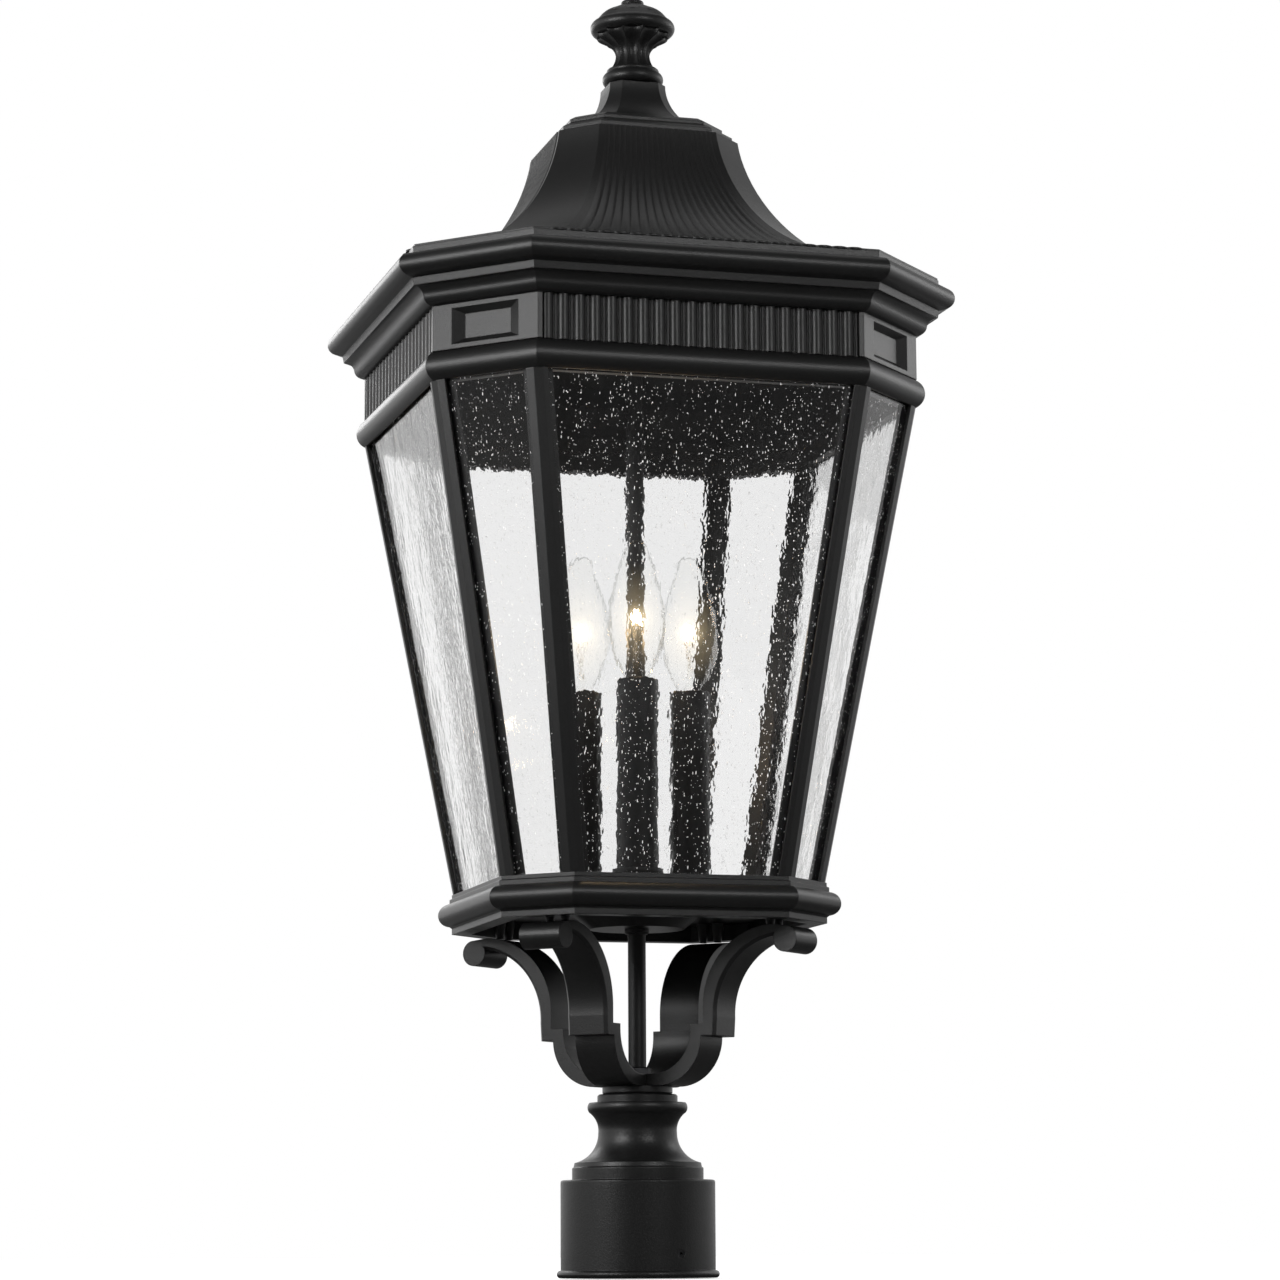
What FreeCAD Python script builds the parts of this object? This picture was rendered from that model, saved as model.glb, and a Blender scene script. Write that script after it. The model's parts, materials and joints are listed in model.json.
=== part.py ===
import FreeCAD, Part
import math
import os
import re
import Sketcher

# Post top lantern: a collar that slips over a round post, four scrolled arms, an eight-sided
# tapered glass cage with three candle lights, and a lift-off roof held down by a finial.
# Millimetres. Z is up, the origin is the centre of the collar's mouth, the front faces -Y.
# Wide faces are square to X and Y. "Half width" is from the axis to a wide face, and
# "corner leg" is what a narrow corner face takes off each side.

SIZES = (
    # post fitter
    ("bore_radius", 38.6), ("bore_depth", 50.0), ("collar_radius", 41.5), ("collar_height", 51.8),
    ("collar_round", 1.2), ("mouth_bead_height", 4.0), ("mouth_bead_out", 0.5),
    ("shoulder_radius", 35.3), ("shoulder_height", 6.8), ("shoulder_round", 0.8),
    ("waist_foot_in", 1.3), ("waist_foot_up", 2.4), ("waist_radius", 21.2), ("waist_up", 18.4),
    ("flange_radius", 26.0), ("flange_down", 9.6), ("flange_thick", 5.2), ("fitter_top_radius", 21.6),
    ("fitter_height", 97.4), ("fitter_web", 7.5), ("wireway_radius", 12.0), ("edge_break", 0.8),
    ("screw_up", 12.6), ("screw_radius", 2.0), ("screw_turn", 17.7), ("screw_sink", 0.2),
    ("screw_socket", 1.0), ("screw_socket_depth", 1.4),
    # yoke
    ("hub_radius", 18.9), ("hub_disc", 4.1), ("arm_width", 24.0), ("arm_bevel", 1.6),
    ("bowl_foot", 19.5), ("bowl_radius", 26.2), ("bowl_lift", 25.6), ("bowl_floor", 6.3),
    ("bowl_wall", 6.5), ("bowl_inner_radius", 23.0), ("scroll_foot", 53.9), ("scroll_wall", 7.1),
    ("scroll_foot_out", 0.6), ("scroll_rise", 10.0), ("scroll_end", 5.8), ("scroll_flat", 8.0),
    ("step_height", 6.3), ("scroll_straight", 8.2), ("curl_radius", 7.0), ("curl_inset", 8.0),
    ("curl_drop", 1.0), ("curl_lap", 3.5), ("curl_over", 0.2), ("arm_air", 1.8), ("yoke_height", 89.0),
    # base ring and pan
    ("base_half_width", 89.4), ("base_corner_leg", 31.3), ("base_ring_height", 21.8),
    ("base_ring_depth", 10.0), ("base_foot", 3.2), ("base_roll_up", 4.2), ("base_roll_height", 12.6),
    ("base_roll_out", 5.9), ("base_step", 1.2), ("base_fillet", 2.4), ("base_fillet_up", 0.6),
    ("pan_thick", 3.0), ("pan_up", 8.8), ("dish_rim_radius", 36.2), ("dish_floor_radius", 25.7),
    ("dish_drop", 9.0), ("dish_wall", 2.5), ("boss_inset", 20.3), ("boss_half_pitch", 4.6),
    ("boss_radius", 3.9), ("boss_taper", 10.0), ("pan_gap", 0.2), ("screw_head_radius", 2.6),
    ("screw_head_height", 1.6),
    # cage
    ("cage_height", 255.5), ("post_flange", 7.4), ("wide_flange", 5.6), ("post_bevel", 2.6),
    ("post_skin", 1.8), ("post_web", 3.0), ("glass_slot", 3.4), ("glass_thick", 3.0),
    ("stop_reach", 11.3), ("wide_stop_reach", 9.0), ("stop_skin", 1.6),
    ("rail_height", 15.1), ("rail_roll_out", 4.4), ("rail_depth", 10.0), ("rail_in", 0.3),
    ("groove_depth", 3.0), ("groove_spread", 0.5), ("glass_in", 2.5),
    # entablature
    ("frieze_half_width", 134.0), ("frieze_corner_leg", 45.3), ("frieze_height", 24.2),
    ("reed_count", 20), ("reed_relief", 2.2), ("reed_root", 0.3), ("frieze_margin", 2.6),
    ("frieze_wall", 3.5),
    ("cyma_out", 11.1), ("cyma_height", 9.6), ("fillet_height", 4.0), ("fillet_out", 0.8),
    ("torus_face", 15.4), ("torus_rise", 1.0), ("torus_out", 4.4), ("torus_height", 11.4),
    ("cap_fillet", 4.4), ("cap_fillet_out", 0.7), ("cap_fillet_depth", 6.0), ("panel_width", 40.8),
    ("panel_height", 19.2), ("panel_bevel", 3.0), ("panel_side_bevel", 6.6), ("panel_depth", 3.4),
    ("lip_depth", 4.6), ("lip_wall", 2.0), ("lip_gap", 0.6), ("shelf_thick", 4.0),
    # roof
    ("eave_out", 11.0), ("dome_leg_share", 0.352), ("dome_height", 87.1),
    ("dome_top_half_width", 51.0), ("dome_wall", 3.0), ("dome_reed_swell", 0.2),
    ("cap_ring_half_width", 48.3), ("cap_ring_height", 10.4), ("cap_step", 4.8),
    ("neck_foot_half_width", 33.0), ("neck_half_width", 15.9), ("neck_height", 26.5),
    # finial
    ("finial_height", 51.6), ("finial_foot_radius", 17.1), ("finial_neck_radius", 9.8),
    ("finial_rim_radius", 23.7), ("finial_flutes", 12), ("finial_thread_depth", 14.0),
    # pipe and nuts
    ("pipe_radius", 4.85), ("pipe_tail", 12.0), ("nut_flat", 14.0), ("nut_height", 4.0),
    ("nut_bevel", 0.5), ("pipe_wall", 1.6), ("pan_collar_radius", 6.6), ("pan_collar_height", 2.6),
    # candle cluster
    ("canopy_radius", 52.0), ("canopy_height", 13.0), ("canopy_wall", 1.5), ("canopy_round", 6.0),
    ("candle_ring", 34.5), ("candle_turn", -14.5), ("cup_radius", 13.6), ("cup_height", 4.6),
    ("cup_flare", 2.2), ("cup_rim", 1.0), ("cup_gap", 0.1),
    ("sleeve_radius", 11.15), ("sleeve_wall", 0.8), ("sleeve_height", 105.5),
    ("socket_radius", 9.2), ("socket_height", 30.0), ("socket_sink", 1.5), ("riser_radius", 4.0),
    ("bulb_cap_radius", 6.0), ("bulb_cap_height", 21.0), ("bulb_cap_rim", 0.6), ("bulb_radius", 16.6),
    ("bulb_height", 77.0), ("bulb_wall", 0.8), ("bulb_foot_out", 1.4), ("bulb_tip_radius", 5.0),
    ("bulb_seal_radius", 0.4), ("cap_contact_radius", 2.0), ("cap_contact_drop", 2.0),
    ("filament_up", 34.0), ("stem_radius", 3.4), ("stem_waist", 1.6), ("stem_height", 12.0),
    ("stem_tip", 3.0), ("lead_aside", 1.3), ("lead_radius", 0.3), ("coil_radius", 0.5),
    ("coil_length", 6.0),
    # fits
    ("turning_gap", 0.06), ("sliding_gap", 0.4), ("seat_gap", 0.3),
)

doc = FreeCAD.newDocument("PostTopLantern")
sheet = doc.addObject("Spreadsheet::Sheet", "Sizes")
for row, (alias, value) in enumerate(SIZES, 1):
    sheet.set("A%d" % row, alias)
    sheet.set("B%d" % row, str(value))
    sheet.setAlias("B%d" % row, alias)
doc.recompute()

ALIASES = re.compile(r"\b(%s)\b" % "|".join(sorted((a for a, v in SIZES), key=len, reverse=True)))
Vector = FreeCAD.Vector
Z_AXIS = Vector(0, 0, 1)
HALF_ROUND = 0.515        # radius over chord of an almost half-round bead
QUARTER_ROUND = 0.7071    # radius over chord of a quarter circle
WAIST_LOW_BEND = 0.79     # radius over chord of the hollow above the shoulder
WAIST_HIGH_BEND = 0.98    # radius over chord of the hollow below the flange
FLANGE_BEND = 0.8         # radius over chord of the flange's round edge
CYMA_BEND = 0.75          # radius over chord of both curves of the cyma
BULB_LOW_BEND = 1.43      # radius over chord of the bulb below its widest place
BULB_HIGH_BEND = 1.97     # radius over chord of the bulb above its widest place
NECK_SHARE = 0.04         # share of the bulb's height that is its straight foot
BELLY_SHARE = 0.36        # share of the bulb's height up to its widest place
# Frieze, in shares of one reed's pitch: the wide reed, then the thin bead beside it
REED_STARTS, REED_ENDS = 0.02, 0.72
BEAD_STARTS, BEAD_ENDS = 0.77, 0.98
REED_BEND = 0.53          # radius over chord of both
# Roof curves: (share of the way across, share of the way along the height) of their poles
BELL_POLES = ((0, 0), (0.03, 0.275), (0.27, 0.925), (1, 0.988))
BELL_RINGS = (0, 0.2, 0.4, 0.55, 0.7, 0.82, 0.92, 1)
FLARE_POLES = ((0, 0), (0.6, 0.15), (1, 0.6), (1, 1))
FLARE_RINGS = (0, 0.2, 0.45, 0.7, 1)
WALL_STARTS = 0.05        # share of the bell's curve where its inside begins
PLAIN_ENDS = 0.05         # share of a wide side that stays plain at each end of its reeds
# Stepped cap: (share of cap_step inwards, share of the ring's height)
CAP_CORNERS = ((0, -0.4), (0, 0.3), (1, 0.6), (1, 0.78), (1.73, 1))
# Finial: the radius that a ring goes by, the share of it, and the share of the height
FLUTED_RINGS = (("foot", 0.79, 0.19), ("neck", 1.13, 0.255), ("neck", 1, 0.34), ("neck", 1.04, 0.41),
                ("neck", 1.4, 0.49), ("rim", 0.8, 0.545), ("rim", 0.88, 0.62))
LOBED_RINGS = (("rim", 0.72, 0.8), ("rim", 0.58, 0.857), ("rim", 0.4, 0.9), ("rim", 0.24, 0.935))
FINIAL_BEADS = (("foot", 1, 0.015, 0.165), ("foot", 0.86, 0.15, 0.205), ("rim", 1, 0.595, 0.745),
                ("rim", 0.27, 0.925, 0.985))
RIM_SLOPE = ((0.92, 0.72), (0.75, 0.815))
FLUTE_DEPTH = 0.17        # share of the radius that a flute goes in
LOBE_SWELL = 0.09         # share of the radius that a lobe stands out
BUTTON_SHARE = 0.19       # the button's radius over the rim's
SCREW_CROWN = 0.8         # the top of a screw head over its foot
SAME = 0.01               # lengths below this are taken as nothing
LONG_EDGE = 5.0           # edges longer than this get the arm's bevel
SUB_PARTS = []

# Heights and radii that several pieces share
HUB_TOP = "(fitter_height + hub_disc)"
BASE_LOW = "(fitter_height + yoke_height)"
BASE_TOP = "(%s + base_ring_height)" % BASE_LOW
PAN_LOW = "(%s + pan_up)" % BASE_LOW
PAN_TOP = "(%s + pan_thick)" % PAN_LOW
DISH_LOW = "(%s - dish_drop)" % PAN_LOW
RAIL_LOW = "(%s + cage_height)" % BASE_TOP
FRIEZE_LOW = "(%s + rail_height + seat_gap)" % RAIL_LOW
FRIEZE_TOP = "(%s + frieze_height)" % FRIEZE_LOW
DOME_LOW = "(%s + cyma_height + fillet_height + torus_rise + torus_height + cap_fillet)" % FRIEZE_TOP
DOME_TOP = "(%s + dome_height)" % DOME_LOW
NECK_LOW = "(%s + cap_ring_height)" % DOME_TOP
FINIAL_LOW = "(%s + neck_height + seat_gap)" % NECK_LOW
CANOPY_TOP = "(%s + canopy_height)" % PAN_TOP
ARM_STEP = "(%s + bowl_lift)" % HUB_TOP
ARM_TOP = "(%s - arm_air)" % BASE_LOW
ARM_UNDER = "(%s - scroll_end)" % ARM_TOP
CUP_FLOOR = "(%s + canopy_wall)" % CANOPY_TOP
SLEEVE_TOP = "(%s + sleeve_height)" % CUP_FLOOR
SOCKET_TOP = "(%s - socket_sink)" % SLEEVE_TOP
PIPE_HOLE = "(pipe_radius + sliding_gap)"
BASE_INNER = "(base_half_width - base_ring_depth)"
BASE_SIDE = "(base_half_width - base_corner_leg)"
FRIEZE_SIDE = "(frieze_half_width - frieze_corner_leg)"
DOME_HALF = "(frieze_half_width + eave_out)"
BASE_DIAGONAL = "((2 * base_half_width - base_corner_leg) * sqrt(0.5))"
BOSS_REACH = "(%s - boss_inset)" % BASE_DIAGONAL
CURL_REACH = "(%s - curl_inset)" % BASE_DIAGONAL
REED_FACE = "(frieze_half_width - reed_relief)"
REED_PITCH = "(2 * (%s - frieze_margin) / reed_count)" % FRIEZE_SIDE


def number(formula):
    """The value of a formula of sheet sizes."""
    return float(sheet.evalExpression(str(formula)))


def linked(formula):
    """The same formula as other objects write it."""
    return ALIASES.sub(r"Sizes.\1", str(formula))


def add_body(label):
    body = doc.addObject("PartDesign::Body", label)
    body.Label = label
    SUB_PARTS.append(body)
    return body


def origin_feature(body, role):
    return next(feature for feature in body.Origin.OriginFeatures if feature.Role == role)


def add_sketch(body, role, name, up=None):
    """A sketch on one of the body's own planes, raised along the plane's normal."""
    sketch = body.newObject("Sketcher::SketchObject", name)
    sketch.AttachmentSupport = [(origin_feature(body, role), "")]
    sketch.MapMode = "FlatFace"
    if up is not None:
        sketch.AttachmentOffset = FreeCAD.Placement(Vector(0, 0, number(up)), FreeCAD.Rotation())
        sketch.setExpression("AttachmentOffset.Base.z", linked(up))
    return sketch


def draw_outline(sketch, corners):
    """A closed outline. A corner is (across, up) or (across, up, bend), where bend says how the
    side to the next corner curves: a number is its radius over its chord, a text is the
    formula of its rise above the chord. Below zero, it curves the other way."""
    corners = [tuple(corner) + (0,) if len(corner) == 2 else corner for corner in corners]
    points = [Vector(number(x), number(y), 0) for x, y, bend in corners]
    pieces = []
    for index, (x, y, bend) in enumerate(corners):
        after = (index + 1) % len(corners)
        first, last = points[index], points[after]
        if not bend:
            pieces.append((sketch.addGeometry(Part.LineSegment(first, last), False), 1, 2))
            continue
        chord = last - first
        next_x, next_y = corners[after][:2]
        spread = "sqrt((%s - (%s))^2 + (%s - (%s))^2)" % (next_x, x, next_y, y)
        radius_rule = "%s * abs(%s)" % (spread, bend)
        if isinstance(bend, str):
            radius_rule = "(%s^2 / 4 + (%s)^2) / (2 * abs(%s))" % (spread, bend, bend)
        radius = number(radius_rule)
        curve = number(bend)
        side = Vector(-chord.y, chord.x, 0).normalize() * math.copysign(1, curve)
        middle = (first + last) * 0.5
        centre = middle + side * math.sqrt(radius ** 2 - chord.Length ** 2 / 4)
        start = math.atan2(first.y - centre.y, first.x - centre.x)
        end = math.atan2(last.y - centre.y, last.x - centre.x)
        if curve < 0:
            start, end = end, start
        circle = Part.Circle(centre, Z_AXIS, radius)
        arc = Part.ArcOfCircle(circle, start, end if end > start else end + 2 * math.pi)
        geometry = sketch.addGeometry(arc, False)
        pieces.append((geometry, 1, 2) if curve > 0 else (geometry, 2, 1))
        constraint = sketch.addConstraint(Sketcher.Constraint("Radius", geometry, radius))
        sketch.setExpression("Constraints[%d]" % constraint, linked(radius_rule))
    for index, (x, y, bend) in enumerate(corners):
        geometry, start, end = pieces[index]
        after, after_start, after_end = pieces[(index + 1) % len(corners)]
        sketch.addConstraint(Sketcher.Constraint("Coincident", geometry, end, after, after_start))
        for kind, place, value in (("DistanceX", x, points[index].x), ("DistanceY", y, points[index].y)):
            constraint = sketch.addConstraint(Sketcher.Constraint(kind, -1, 1, geometry, start, value))
            sketch.setExpression("Constraints[%d]" % constraint, linked(place))


def draw_circle(sketch, x, y, radius):
    centre = Vector(number(x), number(y), 0)
    circle = sketch.addGeometry(Part.Circle(centre, Z_AXIS, number(radius)), False)
    for kind, value, place in (("DistanceX", centre.x, x), ("DistanceY", centre.y, y)):
        constraint = sketch.addConstraint(Sketcher.Constraint(kind, -1, 1, circle, 3, value))
        sketch.setExpression("Constraints[%d]" % constraint, linked(place))
    constraint = sketch.addConstraint(Sketcher.Constraint("Radius", circle, number(radius)))
    sketch.setExpression("Constraints[%d]" % constraint, linked(radius))


def set_length(feature, prop, formula):
    setattr(feature, prop, number(formula))
    feature.setExpression(prop, linked(formula))


def add_feature(body, kind, name, profile, length=None, reverse=False, both_ways=False):
    """A feature made from a sketch. It becomes the body's tip."""
    feature = body.newObject("PartDesign::" + kind, name)
    feature.Profile = profile
    if length is not None:
        set_length(feature, "Length", length)
    if both_ways:
        feature.SideType = "Symmetric"
    if reverse:
        feature.Reversed = True
    body.Tip = feature
    return feature


def add_bevel(body, name, edges, size):
    """Bevels named edges of the body's last feature."""
    base = body.Tip
    chamfer = body.newObject("PartDesign::Chamfer", name)
    chamfer.Base = (base, edges)
    set_length(chamfer, "Size", size)
    body.Tip = chamfer


def turn_profile(body, corners, kind="Revolution", name="turned"):
    """Turns an outline of (radius, height) corners about the Z axis."""
    sketch = add_sketch(body, "XZ_Plane", name + "_outline")
    draw_outline(sketch, corners)
    feature = add_feature(body, kind, name, sketch)
    feature.ReferenceAxis = (sketch, ["V_Axis"])
    feature.Angle = 360
    return feature


def turned_part(label, corners):
    body = add_body(label)
    turn_profile(body, corners)
    return body


def repeat_round(body, feature, count, name):
    """Repeats a feature round the Z axis."""
    pattern = body.newObject("PartDesign::PolarPattern", name)
    pattern.Originals = [feature]
    pattern.Axis = (origin_feature(body, "Z_Axis"), [""])
    pattern.Angle = 360
    pattern.Occurrences = int(number(count))
    body.Tip = pattern
    return pattern


def place(body, x="0", y="0", up="0", turn="0"):
    """Puts a sub-part at its place, turned about Z, bound to the sheet."""
    spot = Vector(number(x), number(y), number(up))
    body.Placement = FreeCAD.Placement(spot, FreeCAD.Rotation(Z_AXIS, number(turn)))
    for axis, formula in (("x", x), ("y", y), ("z", up)):
        if ALIASES.search(str(formula)):
            body.setExpression("Placement.Base." + axis, linked(formula))
    if ALIASES.search(str(turn)):
        body.setExpression("Placement.Rotation.Angle", linked(turn))


def octagon_corners(half_width, corner_leg):
    """The eight corners, with the start in the middle of the +X side."""
    side = "(%s - %s)" % (half_width, corner_leg)
    first = [(half_width, side), (side, half_width)]
    second = [("-" + x, y) for x, y in reversed(first)]
    lower = [("-" + x if x[0] != "-" else x[1:], "-" + y) for x, y in first]
    last = [(x, "-" + y) for x, y in reversed(first)]
    return [(half_width, "0")] + first + second + lower + last


def add_moulding(body, half_width, corner_leg, corners):
    """An outline of (distance, height) corners carried round the octagon, mitred at each corner."""
    path = add_sketch(body, "XY_Plane", "octagon")
    draw_outline(path, octagon_corners(half_width, corner_leg))
    outline = add_sketch(body, "XZ_Plane", "moulding_outline")
    draw_outline(outline, corners)
    doc.recompute()
    sweep = body.newObject("PartDesign::AdditivePipe", "moulding")
    sweep.Profile = outline
    sweep.Spine = (path, ["Edge%d" % (index + 1) for index in range(9)])
    sweep.Transition = "Right corner"
    body.Tip = sweep


# ---------------------------------------------------------------- post fitter

def post_fitter():
    body = add_body("post_fitter")
    lip = "(collar_radius + mouth_bead_out)"
    shoulder_top = "(collar_height + shoulder_height)"
    flange_low = "(fitter_height - flange_down)"
    flange_top = "(%s + flange_thick)" % flange_low
    turn_profile(body, [
        ("bore_radius", "0"), (lip, "0", HALF_ROUND), (lip, "mouth_bead_height"),
        ("collar_radius", "mouth_bead_height"),
        ("collar_radius", "collar_height - collar_round", QUARTER_ROUND),
        ("collar_radius - collar_round", "collar_height"), ("shoulder_radius", "collar_height"),
        ("shoulder_radius", shoulder_top + " - shoulder_round", QUARTER_ROUND),
        ("shoulder_radius - shoulder_round", shoulder_top),
        ("shoulder_radius - waist_foot_in", shoulder_top + " + waist_foot_up", -WAIST_LOW_BEND),
        ("waist_radius", shoulder_top + " + waist_up", -WAIST_HIGH_BEND),
        ("flange_radius", flange_low, FLANGE_BEND), ("flange_radius", flange_top),
        ("fitter_top_radius", flange_top), ("fitter_top_radius", "fitter_height - edge_break"),
        ("fitter_top_radius - edge_break", "fitter_height"), (PIPE_HOLE, "fitter_height"),
        (PIPE_HOLE, "fitter_height - fitter_web"), ("wireway_radius", "fitter_height - fitter_web"),
        ("wireway_radius", "bore_depth"), ("bore_radius", "bore_depth")])
    hole = add_sketch(body, "YZ_Plane", "screw_hole_circle")
    draw_circle(hole, "0", "screw_up", "screw_radius + turning_gap")
    pocket = add_feature(body, "Pocket", "screw_hole", hole, "2 * collar_radius", reverse=True)
    repeat_round(body, pocket, "3", "screw_holes")
    place(body, turn="screw_turn - 90")


def set_screw(index):
    """A grub screw level with the collar, with its hexagon socket outwards."""
    body = add_body("set_screw_%d" % (index + 1))
    outline = add_sketch(body, "YZ_Plane", "shank_circle", "bore_radius + screw_sink / 2")
    draw_circle(outline, "0", "screw_up", "screw_radius")
    add_feature(body, "Pad", "shank", outline, "collar_radius - bore_radius - 1.5 * screw_sink")
    socket = add_sketch(body, "YZ_Plane", "socket_outline", "collar_radius - screw_sink")
    corners = []
    for corner in range(6):
        angle = 60 * corner
        corners.append(("screw_socket * cos(%d)" % angle, "screw_up + screw_socket * sin(%d)" % angle))
    draw_outline(socket, corners)
    add_feature(body, "Pocket", "socket", socket, "screw_socket_depth")
    place(body, turn="screw_turn - 90 + %d" % (120 * index))


# ---------------------------------------------------------------- yoke

def yoke_hub():
    body = turned_part("yoke_hub", [
        (PIPE_HOLE, "fitter_height"), ("hub_radius - edge_break", "fitter_height"),
        ("hub_radius", "fitter_height + edge_break"), ("hub_radius", HUB_TOP), (PIPE_HOLE, HUB_TOP)])
    block = add_sketch(body, "XY_Plane", "block_outline", HUB_TOP)
    half = "(arm_width / 2)"
    draw_outline(block, [("-" + half, "-" + half), (half, "-" + half), (half, half), ("-" + half, half)])
    draw_circle(block, "0", "0", PIPE_HOLE)
    add_feature(body, "Pad", "block", block, "bowl_floor")
    place(body, turn="45")


def yoke_arm(index):
    """One S-shaped arm: a quarter bowl, a stepped scroll and a rolled end."""
    body = add_body("yoke_arm_%d" % (index + 1))
    foot = "(arm_width / 2)"
    bowl_out = "(bowl_foot + bowl_radius)"
    bowl_in = "(%s - bowl_wall)" % bowl_out
    floor = "(%s + bowl_floor)" % HUB_TOP
    inner_step = "(%s + step_height)" % ARM_STEP
    scroll_in = "(scroll_foot - scroll_wall)"
    outline = add_sketch(body, "XZ_Plane", "side_outline")
    draw_outline(outline, [
        (foot, HUB_TOP), ("bowl_foot", HUB_TOP, QUARTER_ROUND), (bowl_out, ARM_STEP),
        ("scroll_foot", ARM_STEP),
        ("scroll_foot + scroll_foot_out", ARM_STEP + " + scroll_rise", -QUARTER_ROUND),
        (CURL_REACH + " - curl_lap", ARM_UNDER), (CURL_REACH, ARM_TOP + " - curl_drop"),
        (CURL_REACH + " - scroll_flat", ARM_TOP, QUARTER_ROUND),
        (scroll_in, inner_step + " + scroll_straight"),
        (scroll_in, inner_step), (bowl_in, inner_step),
        (bowl_in, floor + " + bowl_inner_radius", -QUARTER_ROUND),
        (bowl_in + " - bowl_inner_radius", floor), (foot, floor)])
    add_feature(body, "Pad", "band", outline, "arm_width", both_ways=True)
    curl = add_sketch(body, "XZ_Plane", "curl_circle")
    draw_circle(curl, CURL_REACH, ARM_TOP + " - curl_radius - curl_drop", "curl_radius")
    add_feature(body, "Pad", "curl", curl, "arm_width + curl_over", both_ways=True)
    doc.recompute()
    bevels = [name for name, edge in named_edges(body.Tip.Shape)
              if is_outer_edge(edge, number(ARM_STEP), number(ARM_UNDER))]
    add_bevel(body, "edge_bevels", bevels, "arm_bevel")
    place(body, turn="%d" % (90 * index - 45))


def named_edges(shape):
    return [("Edge%d" % (index + 1), edge) for index, edge in enumerate(shape.Edges)]


def is_outer_edge(edge, low, high):
    """The long edges of the scroll's outer face, left and right."""
    box = edge.BoundBox
    flat = box.YLength < SAME and box.ZLength > LONG_EDGE
    return flat and low - 1 < box.ZMin and box.ZMax < high + 1 and box.XMin > number("scroll_foot") - 1


def base_pan():
    """The floor of the cage: an octagonal plate with a round dish and eight screw bosses."""
    body = add_body("base_pan")
    plate = add_sketch(body, "XY_Plane", "plate_outline", PAN_LOW)
    edge_in = "(base_ring_depth + pan_gap)"
    inner = "(base_half_width - %s)" % edge_in
    leg = "(base_corner_leg - (2 - sqrt(2)) * %s)" % edge_in
    draw_outline(plate, octagon_corners(inner, leg)[1:])
    add_feature(body, "Pad", "plate", plate, "pan_thick")
    turn_profile(body, [
        ("0", DISH_LOW), ("dish_floor_radius", DISH_LOW), ("dish_rim_radius", PAN_LOW), ("0", PAN_LOW)],
        name="dish")
    turn_profile(body, [
        (PIPE_HOLE, DISH_LOW), (PIPE_HOLE, DISH_LOW + " + dish_wall"),
        ("dish_floor_radius - dish_wall", DISH_LOW + " + dish_wall"),
        ("dish_rim_radius - dish_wall", PAN_TOP), ("0", PAN_TOP), ("0", DISH_LOW)],
        kind="Groove", name="dish_inside")
    bosses = add_sketch(body, "XY_Plane", "boss_circles", PAN_LOW)
    for quarter in range(4):
        along = "%s * cos(%d)" % (BOSS_REACH, 45 + 90 * quarter)
        across = "%s * sin(%d)" % (BOSS_REACH, 45 + 90 * quarter)
        for side in (-1, 1):
            shift_x = "%d * boss_half_pitch * sin(%d)" % (-side, 45 + 90 * quarter)
            shift_y = "%d * boss_half_pitch * cos(%d)" % (side, 45 + 90 * quarter)
            draw_circle(bosses, "%s + %s" % (along, shift_x), "%s + %s" % (across, shift_y), "boss_radius")
    boss = add_feature(body, "Pad", "bosses", bosses, "pan_up + arm_air", reverse=True)
    boss.TaperAngle = -number("boss_taper")


def arm_screws():
    """The screws that hold the pan to the arms, one body of eight loose solids."""
    feature = doc.addObject("Part::Feature", "arm_screws")
    feature.Label = "arm_screws"
    reach, half_pitch = number(BOSS_REACH), number("boss_half_pitch")
    foot_radius, height = number("screw_head_radius"), number("screw_head_height")
    screws = []
    for quarter in range(4):
        for side in (-1, 1):
            foot = Vector(reach, side * half_pitch, number(PAN_TOP))
            head = Part.makeCone(foot_radius, foot_radius * SCREW_CROWN, height, foot)
            head.rotate(Vector(), Z_AXIS, 45 + 90 * quarter)
            screws.append(head)
    feature.Shape = Part.Compound(screws)
    SUB_PARTS.append(feature)


# ---------------------------------------------------------------- centre pipe and nuts

def centre_pipe():
    tail = "(fitter_height - fitter_web - pipe_tail)"
    top = "(%s + finial_thread_depth - 0.5)" % FINIAL_LOW
    inner = "(pipe_radius - pipe_wall)"
    turned_part("centre_pipe", [
        (inner, tail), ("pipe_radius", tail), ("pipe_radius", top + " - edge_break"),
        ("pipe_radius - edge_break", top), (inner, top)])


def hex_nut(label, low):
    body = add_body(label)
    outline = add_sketch(body, "XY_Plane", "hexagon", low)
    corners = [("nut_flat / sqrt(3) * cos(%d)" % (60 * side), "nut_flat / sqrt(3) * sin(%d)" % (60 * side))
               for side in range(6)]
    draw_outline(outline, corners)
    draw_circle(outline, "0", "0", "pipe_radius + turning_gap")
    add_feature(body, "Pad", "nut", outline, "nut_height")
    doc.recompute()
    edges = [name for name, edge in named_edges(body.Tip.Shape)
             if edge.BoundBox.ZLength < SAME and edge.Length < number("nut_flat")
             and edge.BoundBox.ZMax > number(low) + SAME]
    add_bevel(body, "corners_off", edges, "nut_bevel")


def pan_collar():
    """The turned collar that carries the pan on the pipe."""
    low = "(%s - pan_collar_height)" % DISH_LOW
    turned_part("pan_collar", [
        ("pipe_radius + turning_gap", low), ("pan_collar_radius - edge_break", low),
        ("pan_collar_radius", low + " + edge_break"), ("pan_collar_radius", DISH_LOW),
        ("pipe_radius + turning_gap", DISH_LOW)])


# ---------------------------------------------------------------- cage

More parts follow.
